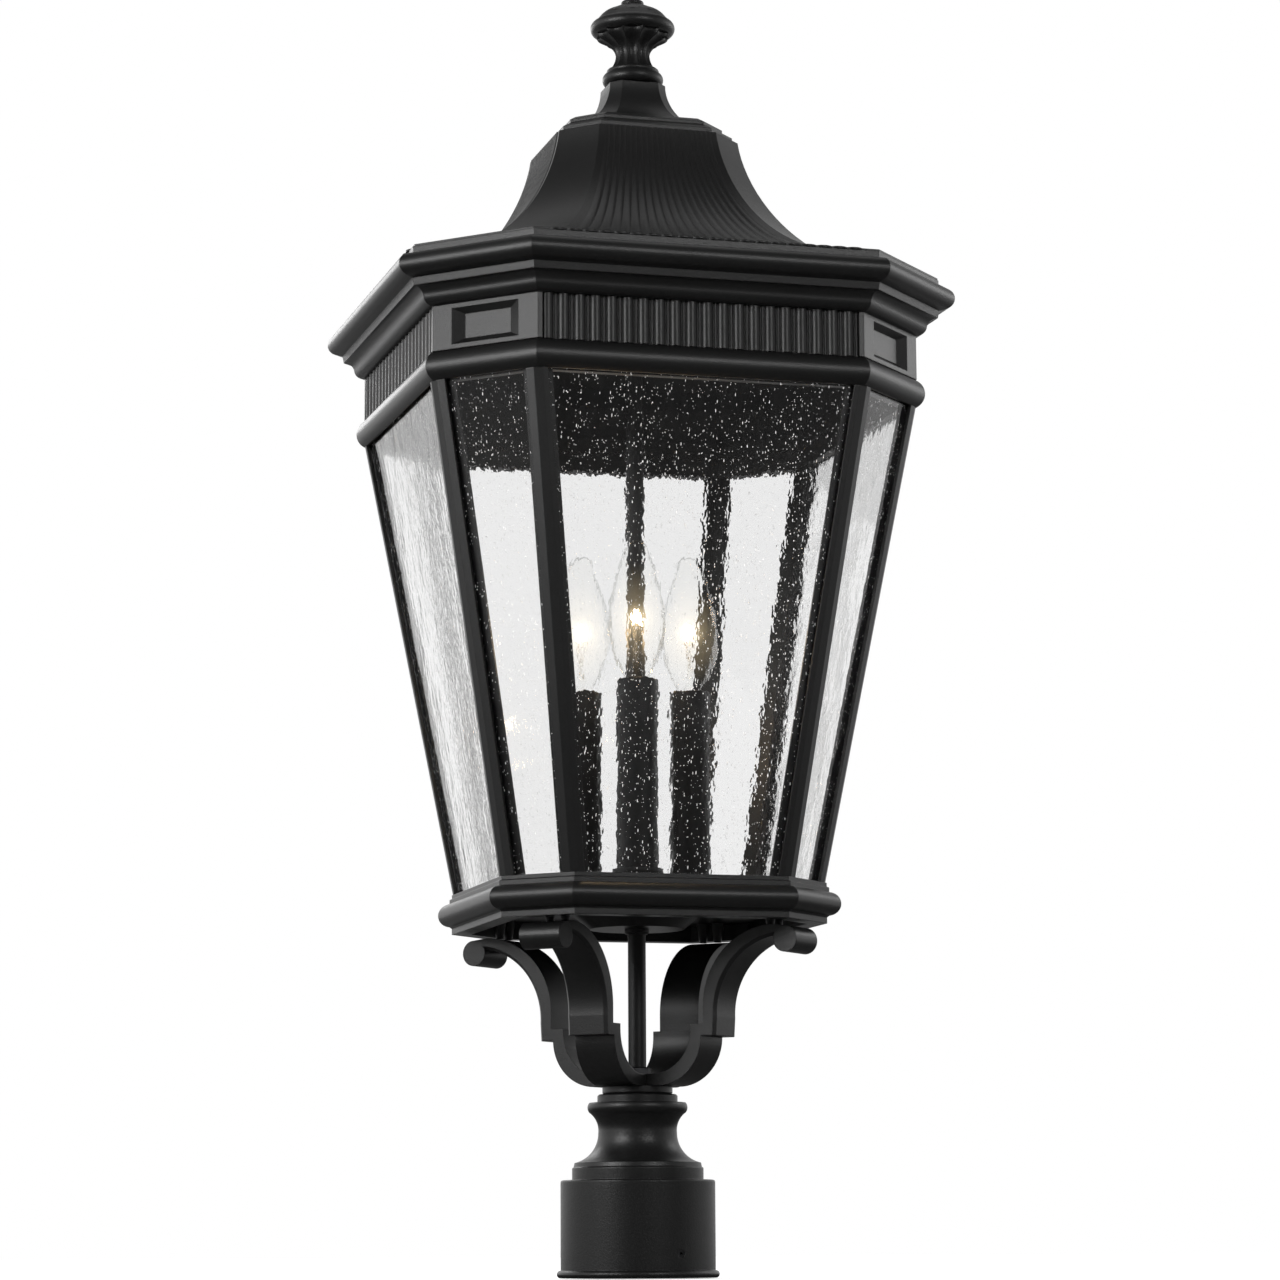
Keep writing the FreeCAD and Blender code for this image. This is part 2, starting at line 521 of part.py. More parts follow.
def base_ring():
    body = add_body("base_ring")
    outer = "base_half_width"
    roll = "(base_half_width + base_step)"
    roll_low = "(%s + base_roll_up)" % BASE_LOW
    roll_top = "(%s + base_roll_height)" % roll_low
    fillet_top = "(%s + base_fillet)" % roll_top
    add_moulding(body, outer, "base_corner_leg", [
        (BASE_INNER, BASE_LOW), (outer, BASE_LOW), (outer, BASE_LOW + " + base_foot"),
        (roll, roll_low, "base_roll_out"), (roll, roll_top), (roll, fillet_top),
        (outer, fillet_top + " + base_fillet_up"), (outer, BASE_TOP), (BASE_INNER, BASE_TOP)])


def top_rail():
    """The rail over the posts, with a groove all round for the heads of the panes."""
    body = add_body("top_rail")
    inner = "(frieze_half_width - rail_depth)"
    rail_top = "(%s + rail_height)" % RAIL_LOW
    outer = "(frieze_half_width - rail_in)"
    groove_in = "(frieze_half_width - post_skin - glass_slot)"
    groove_out = "(frieze_half_width - post_skin + groove_spread)"
    groove_top = "(%s + groove_depth)" % RAIL_LOW
    add_moulding(body, "frieze_half_width", "frieze_corner_leg", [
        (inner, RAIL_LOW), (groove_in, RAIL_LOW), (groove_in, groove_top), (groove_out, groove_top),
        (groove_out, RAIL_LOW), (outer, RAIL_LOW, "rail_roll_out"), (outer, rail_top),
        (inner, rail_top)])


def corner_post(index):
    """A bent strip with a bevelled corner and a slot for the glass on both sides. Every second
    one is the other hand."""
    body = add_body("corner_post_%d" % (index + 1))
    hand = "-" if index % 2 else ""
    outline = add_sketch(body, "XY_Plane", "bent_section", BASE_TOP)
    root_half = "sqrt(0.5)"

    def on_wide(along, depth):
        return "base_half_width - (%s)" % depth, "%s(%s - (%s))" % (hand, BASE_SIDE, along)

    def on_narrow(along, depth):
        x = "base_half_width - (%s + %s) * %s" % (along, depth, root_half)
        y = "%s(%s + (%s - (%s)) * %s)" % (hand, BASE_SIDE, along, depth, root_half)
        return x, y

    slot_in = "post_skin + glass_slot"
    stop_in = slot_in + " + stop_skin"
    draw_outline(outline, [
        on_wide("post_bevel", "0"), on_narrow("post_bevel", "0"), on_narrow("post_flange", "0"),
        on_narrow("post_flange", "post_skin"), on_narrow("post_web", "post_skin"),
        on_narrow("post_web", slot_in), on_narrow("stop_reach", slot_in),
        on_narrow("stop_reach", stop_in), on_wide("(sqrt(2) - 1) * (%s)" % stop_in, stop_in),
        on_wide("wide_stop_reach", stop_in), on_wide("wide_stop_reach", slot_in),
        on_wide("post_web", slot_in), on_wide("post_web", "post_skin"),
        on_wide("wide_flange", "post_skin"), on_wide("wide_flange", "0")])
    pad = add_feature(body, "Pad", "strip", outline, "cage_height")
    pad.UseCustomVector = True
    pad.AlongSketchNormal = True
    lean_x = "(frieze_half_width - base_half_width) / cage_height"
    lean_y = "%s(%s - %s) / cage_height" % (hand, FRIEZE_SIDE, BASE_SIDE)
    pad.Direction = Vector(number(lean_x), number(lean_y), 1)
    pad.setExpression("Direction.x", linked(lean_x))
    pad.setExpression("Direction.y", linked(lean_y))
    place(body, turn="%d" % (90 * (index // 2)))


def glass_pane(label, low, high, turn):
    """A tapered pane, let into the rail. low and high are (distance of the cage face, its half
    length) where the cage starts and ends."""
    body = add_body(label)
    head = ["(%s + glass_in * (%s - %s) / cage_height)" % (above, above, below)
            for below, above in zip(low, high)]
    sketches = []
    for name, (distance, half), up in (("foot", low, BASE_TOP), ("head", head, RAIL_LOW + " + glass_in")):
        outer = "(%s - post_skin - (glass_slot - glass_thick) / 2)" % distance
        side = "(%s - post_web - sliding_gap)" % half
        sketch = add_sketch(body, "XY_Plane", name + "_outline", up)
        draw_outline(sketch, [
            (outer + " - glass_thick", "-" + side), (outer, "-" + side),
            (outer, side), (outer + " - glass_thick", side)])
        sketches.append(sketch)
    loft = add_feature(body, "AdditiveLoft", "pane", sketches[0])
    loft.Sections = [sketches[1]]
    loft.Ruled = True
    place(body, turn="%d" % turn)


def all_panes():
    ends = (("base_half_width", "base_corner_leg"), ("frieze_half_width", "frieze_corner_leg"))
    wide = [(half_width, "(%s - %s)" % (half_width, leg)) for half_width, leg in ends]
    narrow = [("((2 * %s - %s) * sqrt(0.5))" % (half_width, leg), "(%s * sqrt(0.5))" % leg)
              for half_width, leg in ends]
    for index in range(4):
        glass_pane("wide_pane_%d" % (index + 1), wide[0], wide[1], 90 * index)
        glass_pane("narrow_pane_%d" % (index + 1), narrow[0], narrow[1], 90 * index + 45)


# ---------------------------------------------------------------- roof

def cornice():
    """Frieze and cornice in one casting: mitred moulding, reeded bands and sunk corner panels."""
    body = add_body("cornice")
    face = "frieze_half_width"
    cyma_mid_up = "(%s + cyma_height / 2)" % FRIEZE_TOP
    cyma_top = "(%s + cyma_height)" % FRIEZE_TOP
    cyma_face = "(frieze_half_width + cyma_out)"
    fillet_top = "(%s + fillet_height)" % cyma_top
    torus_face = "(frieze_half_width + torus_face)"
    torus_low = "(%s + torus_rise)" % fillet_top
    torus_top = "(%s + torus_height)" % torus_low
    cap_face = "(%s + cap_fillet_out)" % DOME_HALF
    cap_back = "(%s - cap_fillet_depth)" % cap_face
    inner = "(%s - frieze_wall)" % REED_FACE
    lip_out = "(frieze_half_width - rail_depth - lip_gap)"
    lip_back = "(%s - lip_wall)" % lip_out
    shelf_top = "(%s + shelf_thick)" % FRIEZE_LOW
    add_moulding(body, "frieze_half_width", "frieze_corner_leg", [
        (REED_FACE, FRIEZE_LOW), (REED_FACE, FRIEZE_TOP), (face, FRIEZE_TOP, CYMA_BEND),
        (face + " + cyma_out / 2", cyma_mid_up, -CYMA_BEND), (cyma_face, cyma_top),
        (cyma_face + " + fillet_out", fillet_top), (torus_face, torus_low, "torus_out"),
        (torus_face, torus_top), (cap_face, torus_top), (cap_face, DOME_LOW), (cap_back, DOME_LOW),
        (cap_back, fillet_top), (inner, FRIEZE_TOP), (inner, shelf_top), (lip_back, shelf_top),
        (lip_back, FRIEZE_LOW + " - lip_depth"), (lip_out, FRIEZE_LOW + " - lip_depth"),
        (lip_out, FRIEZE_LOW)])
    add_corner_blocks(body)
    add_panels(body)
    add_reeds(body)


def add_corner_blocks(body):
    """The plain corner faces of the frieze, wrapped a little onto the wide faces."""
    block = add_sketch(body, "XY_Plane", "corner_block_outline", FRIEZE_LOW)
    side, sunk = FRIEZE_SIDE, "(%s - reed_root)" % REED_FACE
    sunk_side = "(%s - (sqrt(2) - 1) * (reed_relief + reed_root))" % side
    end = "(%s - frieze_margin)" % side
    face = "frieze_half_width"
    draw_outline(block, [
        (face, end), (face, side), (side, face), (end, face), (end, sunk), (sunk_side, sunk),
        (sunk, sunk_side), (sunk, end)])
    pad = add_feature(body, "Pad", "corner_block", block, "frieze_height")
    repeat_round(body, pad, "4", "corner_blocks")


def add_panels(body):
    """A sunk panel with sloped sides in each corner face of the frieze."""
    middle = "(%s + frieze_height / 2)" % FRIEZE_LOW
    face = "((2 * frieze_half_width - frieze_corner_leg) * sqrt(0.5))"
    levels = (("rim", face, "0", "0"),
              ("floor", "(%s - panel_depth)" % face, "panel_side_bevel", "panel_bevel"))
    for index in range(4):
        angle = 45 + 90 * index
        sketches = []
        for name, distance, side_in, end_in in levels:
            sketch = add_sketch(body, "XZ_Plane", "panel_%s_%d" % (name, index + 1))
            turn = FreeCAD.Rotation(Vector(0, 1, 0), angle)
            sketch.AttachmentOffset = FreeCAD.Placement(Vector(), turn)
            for axis, share in (("x", "sin(%d)" % angle), ("z", "cos(%d)" % angle)):
                sketch.setExpression("AttachmentOffset.Base." + axis, linked("%s * %s" % (distance, share)))
            across = "(panel_width / 2 - %s)" % side_in
            low, high = ("(%s %s (panel_height / 2 - %s))" % (middle, sign, end_in) for sign in "-+")
            draw_outline(sketch, [("-" + across, low), (across, low), (across, high), ("-" + across, high)])
            sketches.append(sketch)
        loft = add_feature(body, "SubtractiveLoft", "panel_%d" % (index + 1), sketches[0])
        loft.Sections = [sketches[1]]
        loft.Ruled = True


def add_reeds(body):
    """Rounded reeds with a thin bead between them, along all four wide faces."""
    row = add_sketch(body, "XY_Plane", "reed_outline", FRIEZE_LOW)
    start = "-(%s - frieze_margin)" % FRIEZE_SIDE

    def along(share):
        return "%s + %g * %s" % (start, share, REED_PITCH)

    back = REED_FACE + " - reed_root"
    draw_outline(row, [
        (back, along(REED_STARTS)), (REED_FACE, along(REED_STARTS), REED_BEND),
        (REED_FACE, along(REED_ENDS)), (REED_FACE, along(BEAD_STARTS), REED_BEND),
        (REED_FACE, along(BEAD_ENDS)), (back, along(BEAD_ENDS))])
    reed = add_feature(body, "Pad", "reed", row, "frieze_height")
    many = body.newObject("PartDesign::MultiTransform", "reeds")
    many.Originals = [reed]
    line = body.newObject("PartDesign::LinearPattern", "reed_row")
    line.Direction = (row, ["V_Axis"])
    set_length(line, "Length", "%s * (reed_count - 1)" % REED_PITCH)
    line.Occurrences = int(number("reed_count"))
    ring = body.newObject("PartDesign::PolarPattern", "reed_ring")
    ring.Axis = (origin_feature(body, "Z_Axis"), [""])
    ring.Angle = 360
    ring.Occurrences = 4
    many.Transformations = [line, ring]
    body.Tip = many


def octagon_points(half_width, up, leg_share):
    side = half_width * (1 - leg_share)
    corner = [(side, -half_width), (half_width, -side)]
    points = []
    for quarter in range(4):
        turn = FreeCAD.Rotation(Z_AXIS, 90 * quarter)
        points += [turn.multVec(Vector(x, y, 0)) + Vector(0, 0, up) for x, y in corner]
    return points


def plain_octagon(half_width, up, leg_share):
    points = octagon_points(half_width, up, leg_share)
    return Part.makePolygon(points + points[:1])


def reeded_octagon(half_width, up, leg_share):
    """An octagon whose wide sides are rows of round reeds between two short plain stretches."""
    count, swell = int(number("reed_count")), number("dome_reed_swell")
    points = octagon_points(half_width, up, leg_share)
    edges = []
    for corner in range(8):
        first, last = points[corner], points[(corner + 1) % 8]
        if corner % 2 == 0:
            edges.append(Part.LineSegment(first, last).toShape())
            continue
        span = last - first
        outward = Vector(span.y, -span.x, 0).normalize()
        start, pitch = first + span * PLAIN_ENDS, span * ((1 - 2 * PLAIN_ENDS) / count)
        edges.append(Part.LineSegment(first, start).toShape())
        for reed in range(count):
            left = start + pitch * reed
            crest = left + pitch * 0.5 + outward * (pitch.Length * swell)
            edges.append(Part.Arc(left, crest, left + pitch).toShape())
        edges.append(Part.LineSegment(start + pitch * count, last).toShape())
    return Part.Wire(edges)


def curve_point(poles, share):
    """A point (distance, height) and the unit normal of a cubic curve through its end poles."""
    rest = 1 - share
    weights = (rest ** 3, 3 * rest ** 2 * share, 3 * rest * share ** 2, share ** 3)
    slopes = (-rest ** 2, rest ** 2 - 2 * rest * share, 2 * rest * share - share ** 2, share ** 2)
    point = [sum(w * pole[axis] for w, pole in zip(weights, poles)) for axis in (0, 1)]
    slope = [sum(s * pole[axis] for s, pole in zip(slopes, poles)) for axis in (0, 1)]
    length = math.hypot(*slope)
    return point, (-slope[1] / length, slope[0] / length)


def roof_dome():
    """The bell-shaped reeded roof, hollow inside, with the stepped cap and the neck on top."""
    low, top, share = number(DOME_LOW), number(DOME_TOP), number("dome_leg_share")
    eave, crown = number(DOME_HALF), number("dome_top_half_width")
    wall, height = number("dome_wall"), top - low
    bell = [(crown + across * (eave - crown), top - down * height) for across, down in BELL_POLES]
    outer_wires = []
    inner_wires = []
    for step in BELL_RINGS:
        (distance, up), normal = curve_point(bell, step)
        outer_wires.append(reeded_octagon(distance, up, share))
        (distance, up), normal = curve_point(bell, max(step, WALL_STARTS))
        inner_wires.append(plain_octagon(distance - wall * normal[0], up - wall * normal[1], share))
    outer = Part.makeLoft(outer_wires, True, False)
    inner = Part.makeLoft(inner_wires, True, False)
    rim = Part.makeLoft([outer_wires[-1], reeded_octagon(eave, low, share)], True, True)
    shell = outer.fuse(rim).cut(inner)
    below = Part.makeBox(4 * eave, 4 * eave, height, Vector(-2 * eave, -2 * eave, low - height))
    shell = shell.cut(below).fuse(roof_cap(share))
    hole = Part.makeCylinder(number(PIPE_HOLE), 3 * height, Vector(0, 0, low))
    feature = doc.addObject("Part::Feature", "roof_dome")
    feature.Label = "roof_dome"
    feature.Shape = shell.cut(hole)
    SUB_PARTS.append(feature)


def roof_cap(share):
    """The stepped octagonal ring on the bell, and the neck that flares up to the finial."""
    low, high = number(DOME_TOP), number(NECK_LOW)
    ring, step_in = number("cap_ring_half_width"), number("cap_step")
    foot, neck = number("neck_foot_half_width"), number("neck_half_width")
    steps = [(ring - inwards * step_in, low + up * (high - low)) for inwards, up in CAP_CORNERS]
    solid = Part.makeLoft([plain_octagon(distance, up, share) for distance, up in steps], True, True)
    flare = [(foot + across * (neck - foot), high - SAME + up * number("neck_height"))
             for across, up in FLARE_POLES]
    wires = []
    for step in FLARE_RINGS:
        (distance, up), normal = curve_point(flare, step)
        wires.append(plain_octagon(distance, up, share))
    return solid.fuse(Part.makeLoft(wires, True, False))


# ---------------------------------------------------------------- finial

def lobed_wire(radius, up, count, swell):
    """A ring of round lobes, or of flutes where the swell is below zero."""
    points = [Vector(radius, 0, up)]
    for step in range(2 * count - 1):
        points.append(FreeCAD.Rotation(Z_AXIS, 180 / count).multVec(points[-1]))
    edges = []
    for lobe in range(count):
        first, middle, last = points[2 * lobe], points[2 * lobe + 1], points[(2 * lobe + 2) % (2 * count)]
        crest = Vector(middle.x * (1 + swell), middle.y * (1 + swell), up)
        edges.append(Part.Arc(first, crest, last).toShape())
    return Part.Wire(edges)


def finial():
    """A fluted stem under a rim, a crown of round lobes and a button, screwed on the pipe."""
    body = doc.addObject("Part::Feature", "finial")
    body.Label = "finial"
    SUB_PARTS.append(body)
    low, height = number(FINIAL_LOW), number("finial_height")
    radii = {name: number("finial_%s_radius" % name) for name in ("foot", "neck", "rim")}

    def lobed_solid(rings, swell):
        count = int(number("finial_flutes"))
        wires = [lobed_wire(radii[name] * share, low + up * height, count, swell)
                 for name, share, up in rings]
        return Part.makeLoft(wires, True, False)

    def bead(name, share, share_low, share_high):
        """A rounded ring between two heights."""
        half_tall = (share_high - share_low) * height / 2
        bottom, top = (Vector(0, 0, low + up * height) for up in (share_low, share_high))
        aside = Vector(radii[name] * share - half_tall, 0, 0)
        crest = (bottom + top) * 0.5 + aside + Vector(half_tall, 0, 0)
        sides = [Part.makeLine(bottom, bottom + aside),
                 Part.Arc(bottom + aside, crest, top + aside).toShape(),
                 Part.makeLine(top + aside, top), Part.makeLine(top, bottom)]
        return Part.Face(Part.Wire(sides)).revolve(Vector(), Z_AXIS, 360)

    (foot_share, foot_up), (head_share, head_up) = RIM_SLOPE
    slope = Part.makeCone(radii["rim"] * foot_share, radii["rim"] * head_share,
                          (head_up - foot_up) * height, Vector(0, 0, low + foot_up * height))
    button = BUTTON_SHARE * radii["rim"]
    pieces = [bead(*ring) for ring in FINIAL_BEADS]
    pieces += [slope, lobed_solid(LOBED_RINGS, LOBE_SWELL),
               Part.makeSphere(button, Vector(0, 0, low + height - button))]
    bore = number("pipe_radius + turning_gap")
    hole = Part.makeCylinder(bore, number("finial_thread_depth"), Vector(0, 0, low))
    body.Shape = lobed_solid(FLUTED_RINGS, -FLUTE_DEPTH).fuse(pieces).cut(hole)


# ---------------------------------------------------------------- candle lights

def candle_spot(index):
    angle = "(candle_turn + %d)" % (120 * index)
    return "candle_ring * sin%s" % angle, "-candle_ring * cos%s" % angle


def cluster_canopy():
    """The round cover over the wiring, standing on the pan."""
    inside = "(canopy_radius - canopy_wall)"
    crown, crown_inside = "(canopy_radius - canopy_round)", CANOPY_TOP + " - canopy_wall"
    shoulder = CANOPY_TOP + " - canopy_round"
    turned_part("cluster_canopy", [
        (PIPE_HOLE, crown_inside), (crown, crown_inside, -QUARTER_ROUND), (inside, shoulder),
        (inside, PAN_TOP), ("canopy_radius", PAN_TOP), ("canopy_radius", shoulder, QUARTER_ROUND),
        (crown, CANOPY_TOP), (PIPE_HOLE, CANOPY_TOP)])


def candle(index):
    x, y = candle_spot(index)
    spot = index + 1
    socket_low = "(%s - socket_height)" % SOCKET_TOP
    socket_bore = "(bulb_cap_radius + turning_gap)"
    cap_low = "(%s - bulb_cap_height)" % SOCKET_TOP
    contact_low = "(%s - cap_contact_drop)" % cap_low
    socket_floor = "(%s - edge_break)" % contact_low
    cup_hole = "(riser_radius + seat_gap)"
    cup_top = "(%s + cup_height)" % CANOPY_TOP
    pieces = (
        ("candle_cup_%d", [
            (cup_hole, CANOPY_TOP), ("cup_radius - cup_flare", CANOPY_TOP, FLANGE_BEND),
            ("cup_radius", cup_top + " - cup_rim"), ("cup_radius", cup_top),
            ("sleeve_radius + cup_gap", cup_top), ("sleeve_radius + cup_gap", CUP_FLOOR),
            (cup_hole, CUP_FLOOR)]),
        ("candle_sleeve_%d", [
            ("sleeve_radius - sleeve_wall", CUP_FLOOR), ("sleeve_radius", CUP_FLOOR),
            ("sleeve_radius", SLEEVE_TOP + " - sleeve_wall / 2"),
            ("sleeve_radius - sleeve_wall / 2", SLEEVE_TOP),
            ("sleeve_radius - sleeve_wall", SLEEVE_TOP)]),
        ("socket_%d", [
            ("0", CANOPY_TOP), ("riser_radius", CANOPY_TOP), ("riser_radius", socket_low),
            ("socket_radius - edge_break", socket_low), ("socket_radius", socket_low + " + edge_break"),
            ("socket_radius", SOCKET_TOP), (socket_bore, SOCKET_TOP),
            (socket_bore, socket_floor), ("0", socket_floor)]),
        ("bulb_cap_%d", [
            ("0", contact_low), ("cap_contact_radius", contact_low),
            ("bulb_cap_radius - 1.5 * edge_break", cap_low + " + edge_break"),
            ("bulb_cap_radius", cap_low + " + 2.5 * edge_break"),
            ("bulb_cap_radius", SOCKET_TOP + " + bulb_cap_rim"), ("0", SOCKET_TOP + " + bulb_cap_rim")]),
    )
    for label, corners in pieces:
        place(turned_part(label % spot, corners), x, y)
    bulb_glass(spot, x, y)
    filament(spot, x, y)


def bulb_glass(spot, x, y):
    """A torpedo bulb, blown thin."""
    low = "(%s + bulb_cap_rim)" % SOCKET_TOP
    neck, belly, wall = "(bulb_cap_radius + bulb_foot_out)", "bulb_radius", "bulb_wall"

    def up(share):
        return "%s + %g * bulb_height" % (low, share)

    tip, tip_low = "bulb_tip_radius", "%s - bulb_tip_radius" % up(1)
    inner, inner_tip = "(bulb_radius - bulb_wall)", "(bulb_tip_radius - bulb_wall)"
    place(turned_part("bulb_%d" % spot, [
        (neck + " - " + wall, low), (neck, low), (neck, up(NECK_SHARE), BULB_LOW_BEND),
        (belly, up(BELLY_SHARE), BULB_HIGH_BEND),
        (tip, tip_low, QUARTER_ROUND), ("bulb_seal_radius", up(1)), ("0", up(1)),
        ("0", up(1) + " - " + wall), ("bulb_seal_radius", up(1) + " - " + wall, -QUARTER_ROUND),
        (inner_tip, tip_low, -BULB_HIGH_BEND), (inner, up(BELLY_SHARE), -BULB_LOW_BEND),
        (neck + " - " + wall, up(NECK_SHARE))]), x, y)


def filament(spot, x, y):
    """The glass stem with two lead wires and the filament between them."""
    low = "(%s + bulb_cap_rim)" % SOCKET_TOP
    glow = "(%s + filament_up)" % SLEEVE_TOP
    waist = low + " + stem_height"
    tip = waist + " + stem_tip"
    body = turned_part("filament_%d" % spot, [
        ("0", low), ("stem_radius", low), ("stem_waist", waist), ("stem_waist / 2", tip), ("0", tip)])
    lead_low = waist + " - edge_break"
    leads = add_sketch(body, "XY_Plane", "lead_circles", lead_low)
    draw_circle(leads, "-lead_aside", "0", "lead_radius")
    draw_circle(leads, "lead_aside", "0", "lead_radius")
    add_feature(body, "Pad", "leads", leads, "%s - (%s)" % (glow, lead_low))
    coil = add_sketch(body, "YZ_Plane", "coil_circle")
    draw_circle(coil, "0", glow, "coil_radius")
    add_feature(body, "Pad", "coil", coil, "coil_length", both_ways=True)
    place(body, x, y)


# ---------------------------------------------------------------- the whole lantern

post_fitter()
yoke_hub()
centre_pipe()
hex_nut("fitter_nut", "fitter_height - fitter_web - nut_height")
hex_nut("hub_nut", HUB_TOP + " + bowl_floor")
hex_nut("canopy_nut", CANOPY_TOP)
pan_collar()
base_ring()
base_pan()
arm_screws()
top_rail()
all_panes()
cluster_canopy()
cornice()
roof_dome()
finial()
for index in range(3):
    set_screw(index)
    candle(index)
for index in range(4):
    yoke_arm(index)
for index in range(8):
    corner_post(index)
doc.recompute()

faults = [obj.Name for obj in doc.Objects if "Invalid" in obj.State or "Error" in obj.State]
for sub_part in SUB_PARTS:
    shape = sub_part.Shape
    if shape.isNull() or not shape.isValid() or not shape.Solids:
        faults.append(sub_part.Label)
if faults:
    raise RuntimeError("these objects failed: " + ", ".join(faults))
os.makedirs("parts", exist_ok=True)
for sub_part in SUB_PARTS:
    sub_part.Shape.exportStep("parts/%s.step" % sub_part.Label)
print("sub-parts written:", len(SUB_PARTS))
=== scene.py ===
import json
import math
import bmesh
import bpy
from mathutils import Matrix, Vector


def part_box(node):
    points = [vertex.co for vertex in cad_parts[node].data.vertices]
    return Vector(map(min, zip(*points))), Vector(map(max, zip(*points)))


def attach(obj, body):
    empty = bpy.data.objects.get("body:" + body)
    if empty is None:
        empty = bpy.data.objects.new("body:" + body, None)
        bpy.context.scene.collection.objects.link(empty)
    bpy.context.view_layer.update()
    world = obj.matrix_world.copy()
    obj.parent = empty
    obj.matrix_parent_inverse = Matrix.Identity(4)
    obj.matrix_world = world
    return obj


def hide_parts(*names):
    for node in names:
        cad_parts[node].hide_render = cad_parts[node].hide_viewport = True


# The looks of the post top lantern: materials, lit bulbs, lights, floor and camera.

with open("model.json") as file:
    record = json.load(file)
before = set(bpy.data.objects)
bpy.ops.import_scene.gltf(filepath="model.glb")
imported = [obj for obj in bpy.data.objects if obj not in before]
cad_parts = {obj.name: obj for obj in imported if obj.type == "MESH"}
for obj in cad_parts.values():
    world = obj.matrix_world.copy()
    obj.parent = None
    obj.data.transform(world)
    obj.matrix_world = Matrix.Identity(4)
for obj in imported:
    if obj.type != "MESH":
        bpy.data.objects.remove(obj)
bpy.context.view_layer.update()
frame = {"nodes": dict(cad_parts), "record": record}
MM = 0.001


# ---------------------------------------------------------------- shader helpers

def new_material(name):
    material = bpy.data.materials.new(name)
    material.use_nodes = True
    material.node_tree.nodes.clear()
    return material


def add_node(tree, kind, inputs=None, **settings):
    """Adds a shader node. An input is a value or another node's output socket."""
    node = tree.nodes.new("ShaderNode" + kind)
    for key, value in settings.items():
        setattr(node, key, value)
    for key, value in (inputs or {}).items():
        socket = node.inputs[key]
        if isinstance(value, bpy.types.NodeSocket):
            tree.links.new(value, socket)
        else:
            socket.default_value = value
    return node


def add_output(tree, surface):
    add_node(tree, "OutputMaterial", {"Surface": surface})


def place_coordinate(tree):
    """Places in the object's own frame, in metres."""
    return add_node(tree, "TexCoord").outputs["Object"]


def noise_at(tree, place, grain, detail=2.0, roughness=0.5):
    """Noise whose blobs are about grain metres across."""
    return add_node(tree, "TexNoise", {
        "Vector": place, "Scale": 1 / grain, "Detail": detail, "Roughness": roughness}).outputs["Fac"]


def remap(tree, value, low, high, to_low, to_high, bend="LINEAR"):
    """The value, taken from the first range to the second."""
    return add_node(tree, "MapRange", {
        "Value": value, "From Min": low, "From Max": high, "To Min": to_low, "To Max": to_high},
        interpolation_type=bend).outputs["Result"]


def smooth(tree, value, low, high, to_low, to_high):
    return remap(tree, value, low, high, to_low, to_high, "SMOOTHSTEP")


def blend(tree, share, first, second):
    return add_node(tree, "Mix", {0: share, 2: first, 3: second}, data_type="FLOAT").outputs[0]


def math_node(tree, operation, first, second=0.5):
    node = add_node(tree, "Math", {0: first, 1: second}, operation=operation)
    return node.outputs["Value"]


def mix_colours(tree, share, first, second):
    node = add_node(tree, "Mix", data_type="RGBA")
    for socket, value in ((node.inputs[0], share), (node.inputs[6], first), (node.inputs[7], second)):
        if isinstance(value, bpy.types.NodeSocket):
            tree.links.new(value, socket)
        else:
            socket.default_value = value
    return node.outputs[2]


def bump(tree, height, depth, normal=None):
    """A bump whose full height is depth metres."""
    inputs = {"Height": height, "Distance": depth, "Strength": 1.0}
    if normal is not None:
        inputs["Normal"] = normal
    return add_node(tree, "Bump", inputs).outputs["Normal"]


# ---------------------------------------------------------------- materials

EDGE_RADIUS = 0.7 * MM


def powder_coat(name, dark, light, grain, depth, roughness, specular=0.5):
    """Matt black powder coat: fine grains that stand proud, soft edges, a faint drift of tone."""
    material = new_material(name)
    tree = material.node_tree
    place = place_coordinate(tree)
    fine = noise_at(tree, place, grain, 3.0, 0.6)
    speckle = noise_at(tree, place, grain * 0.45, 1.0)
    drift = noise_at(tree, place, 60 * MM, 3.0)
    grains = remap(tree, fine, 0.3, 0.7, 0.0, 0.7)
    tone = math_node(tree, "ADD", grains, remap(tree, drift, 0.3, 0.7, 0.0, 0.3))
    colour = mix_colours(tree, tone, dark, light)
    height = math_node(tree, "ADD", fine, math_node(tree, "MULTIPLY", speckle, 0.5))
    rough = remap(tree, speckle, 0.25, 0.75, roughness - 0.07, roughness + 0.07)
    soft_edge = add_node(tree, "Bevel", {"Radius": EDGE_RADIUS}, samples=4).outputs[0]
    shader = add_node(tree, "BsdfPrincipled", {
        "Base Color": colour, "Roughness": rough, "Specular IOR Level": specular,
        "Normal": bump(tree, height, depth, soft_edge)})
    add_output(tree, shader.outputs[0])
    return material


def spots(tree, place, spacing, low, high):
    """Round spots about spacing metres apart, with radii from low to high metres. 1 inside."""
    distance = add_node(tree, "TexVoronoi", {"Vector": place, "Scale": 1 / spacing, "Randomness": 1.0},
                        feature="F1").outputs["Distance"]
    kind = noise_at(tree, place, spacing * 1.7, 1.0)
    size = remap(tree, kind, 0.35, 0.7, low / spacing, high / spacing)
    return smooth(tree, math_node(tree, "DIVIDE", distance, size), 0.6, 1.0, 1.0, 0.0)


def squeeze(tree, place, share):
    """The same places with heights shrunk, so that a pattern over them comes out upright and long."""
    return add_node(tree, "Mapping", {"Vector": place, "Scale": (1.0, 1.0, share)}).outputs["Vector"]


